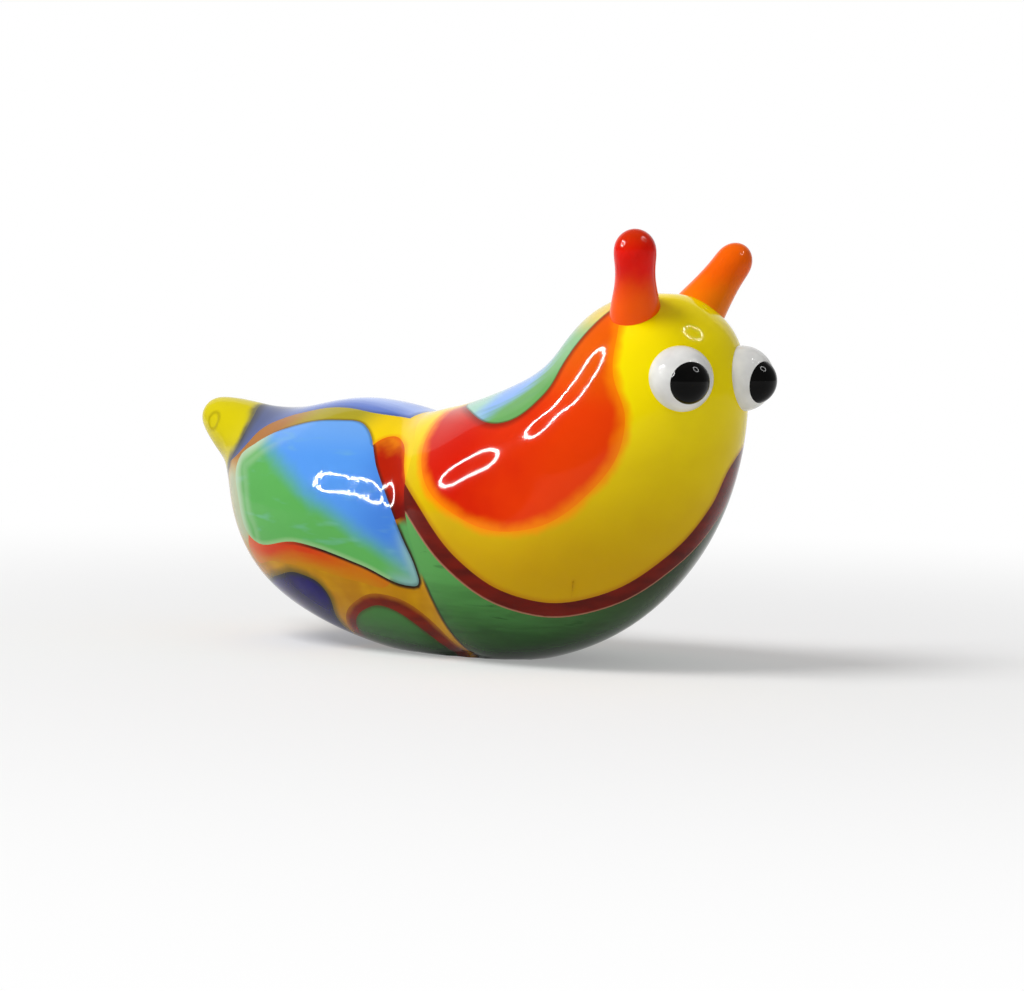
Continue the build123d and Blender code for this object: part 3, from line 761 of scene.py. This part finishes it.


# The horns: two short rods touched onto the crown and pulled off, which leaves a flared root, a thinner neck
# and a rounded end. The right one is red and the left one orange.
right_horn_shape = [(-1.5, 1.46), (-0.5, 1.46), (0.4, 1.36), (1.3, 1.17), (2.1, 1.08), (2.8, 1.09), (3.4, 1.16),
                    (3.95, 1.15), (4.4, 0.95), (4.72, 0.60), (4.86, 0.22)]
left_horn_shape = [(-1.2, 1.56), (-0.2, 1.56), (0.6, 1.46), (1.5, 1.28), (2.3, 1.15), (3.0, 1.07), (3.5, 1.06),
                   (4.0, 1.02), (4.45, 0.80), (4.72, 0.48), (4.83, 0.18)]
for hand, root, bulb, horn_shape, tip_colour, mid_colour, root_colour, slot in (
        ("right", (12.30, -2.75, 19.20), (13.35, -4.40, 22.50), right_horn_shape,
         (206, 44, 0), (232, 18, 0), (255, 92, 0), "red_glass"),
        ("left", (12.30, 2.75, 18.90), (13.60, 4.60, 22.00), left_horn_shape,
         (236, 100, 0), (246, 98, 0), (250, 128, 0), "orange_glass")):
    root = Vector(root)
    way = (Vector(bulb) - root).normalized()
    turn, climb = math.degrees(math.atan2(way.y, way.x)), math.degrees(math.asin(way.z))
    rings = [(*(root + way * along), turn, climb, radius, radius) for along, radius in horn_shape]
    horn = draw_out(hand + "_horn_rod", rings, 2, corners=16)
    glass, x, y, z = new_glass(hand + "_horn_glass")
    cloud = swirl(glass, 1.0, stretch=(1, 1, 1.5), detail=2)
    height = math_of(glass, "ADD", z, cloud)
    colour = blend(glass, ease(glass, height, 19.4, 21.6), linear(*root_colour), linear(*mid_colour))
    colour = blend(glass, ease(glass, height, 22.2, 23.4), colour, linear(*tip_colour))
    finish_glass(glass, colour)
    tie(horn, glass, hand + "_horn")


# The studio: a pale floor under the piece, soft light from a wide lamp and the sky, and a ring lamp that the
# wet-looking glass mirrors. The camera looks at the right flank from ahead, a little above the floor.
view_turn, view_lift, view_roll = math.radians(37.7), math.radians(3.0), math.radians(1.0)
bpy.ops.object.select_all(action="DESELECT")
bpy.ops.mesh.primitive_plane_add(size=2.4, rotation=(0, 0, view_turn))
floor = bpy.context.object
floor.name = "floor"
bpy.ops.object.transform_apply(location=True, rotation=True, scale=True)
bpy.ops.object.mode_set(mode="EDIT")
pick_points(floor, lambda place: place.y * math.cos(view_turn) - place.x * math.sin(view_turn) > 0)
bpy.ops.mesh.extrude_edges_move(TRANSFORM_OT_translate={"value": (0, 0, 1.2)})
bpy.ops.object.mode_set(mode="OBJECT")
floor_paint = bpy.data.materials.new("floor_paint")
floor_paint.use_nodes = True
floor_tree = floor_paint.node_tree
paint = floor_tree.nodes["Principled BSDF"]
paint.inputs["Base Color"].default_value = (0.86, 0.86, 0.86, 1)
paint.inputs["Roughness"].default_value = 0.9
paint.inputs["Specular IOR Level"].default_value = 0.1
floor.data.materials.append(floor_paint)
away = wire(floor_paint, "VectorMath", wire(floor_paint, "TexCoord").outputs["Object"], operation="LENGTH").outputs["Value"]
rays = wire(floor_paint, "LightPath").outputs
seen = math_of(floor_paint, "MAXIMUM", rays["Is Camera Ray"],
               math_of(floor_paint, "MAXIMUM", rays["Is Glossy Ray"], rays["Is Transmission Ray"]))
glow = wire(floor_paint, "Emission", (1, 1, 1, 1), 1.0)
fade = wire(floor_paint, "MixShader", times(floor_paint, seen, ease(floor_paint, away, 0.02, 0.10, 0.3, 1.0)),
            paint.outputs[0], glow.outputs[0])
floor_tree.links.new(fade.outputs[0], floor_tree.nodes["Material Output"].inputs["Surface"])

world = bpy.data.worlds.new("studio")
bpy.context.scene.world = world
world.use_nodes = True
world.node_tree.nodes["Background"].inputs["Color"].default_value = (1, 1, 1, 1)
world.node_tree.nodes["Background"].inputs["Strength"].default_value = 0.38

bpy.ops.object.light_add(type="AREA", location=(-0.14, -0.30, 0.45))
key = bpy.context.object
key.name = "wide_lamp"
key.data.energy = 2.35
key.data.size = 0.25
key.visible_glossy = False
key.rotation_euler = (Vector((0, 0, 0.01)) - key.location).to_track_quat("-Z", "Y").to_euler()

lamp_distance, lamp_outer, lamp_inner = 0.25, 0.049, 0.040
for name, lamp_way, strength in (("ring_lamp", Vector((-0.564, -0.662, 0.491)), 190.0),
                                 ("front_ring_lamp", Vector((0.62, 0.20, 0.75)), 50.0)):
    lamp_way.normalize()
    bpy.ops.mesh.primitive_circle_add(vertices=64, radius=lamp_outer, fill_type="NGON")
    ring_lamp = bpy.context.object
    ring_lamp.name = name
    bpy.ops.object.mode_set(mode="EDIT")
    bpy.ops.mesh.select_all(action="SELECT")
    bpy.ops.mesh.inset(thickness=lamp_outer - lamp_inner)
    bpy.ops.mesh.delete(type="FACE")
    bpy.ops.object.mode_set(mode="OBJECT")
    ring_lamp.rotation_euler = lamp_way.to_track_quat("Z", "Y").to_euler()
    ring_lamp.location = lamp_way * lamp_distance + Vector((0, 0, 0.01))
    bpy.ops.object.transform_apply(location=True, rotation=True, scale=True)
    lamp_glow = bpy.data.materials.new(name + "_glow")
    lamp_glow.use_nodes = True
    lamp_glow.node_tree.links.new(wire(lamp_glow, "Emission", (1, 1, 1, 1), strength).outputs[0],
                                  lamp_glow.node_tree.nodes["Material Output"].inputs["Surface"])
    ring_lamp.data.materials.append(lamp_glow)
    ring_lamp.visible_camera = ring_lamp.visible_diffuse = ring_lamp.visible_shadow = False

view_distance, view_target = 190 * MM, Vector((0, 0, 11 * MM))
right = Vector((math.cos(view_turn), math.sin(view_turn), 0))
back = Vector((math.sin(view_turn) * math.cos(view_lift), -math.cos(view_turn) * math.cos(view_lift),
               math.sin(view_lift)))
up = back.cross(right)
rolled_right = right * math.cos(view_roll) + up * math.sin(view_roll)
rolled_up = up * math.cos(view_roll) - right * math.sin(view_roll)
bpy.ops.object.camera_add(location=view_target + back * view_distance)
camera = bpy.context.object
camera.rotation_euler = Matrix((rolled_right, rolled_up, back)).transposed().to_euler()
camera.data.sensor_width = 36
camera.data.lens = 120.2
camera.data.shift_x = 0.03125
camera.data.shift_y = -0.0396
camera.data.clip_start = 0.001
bpy.context.scene.camera = camera
bpy.context.scene.view_settings.view_transform = "Standard"
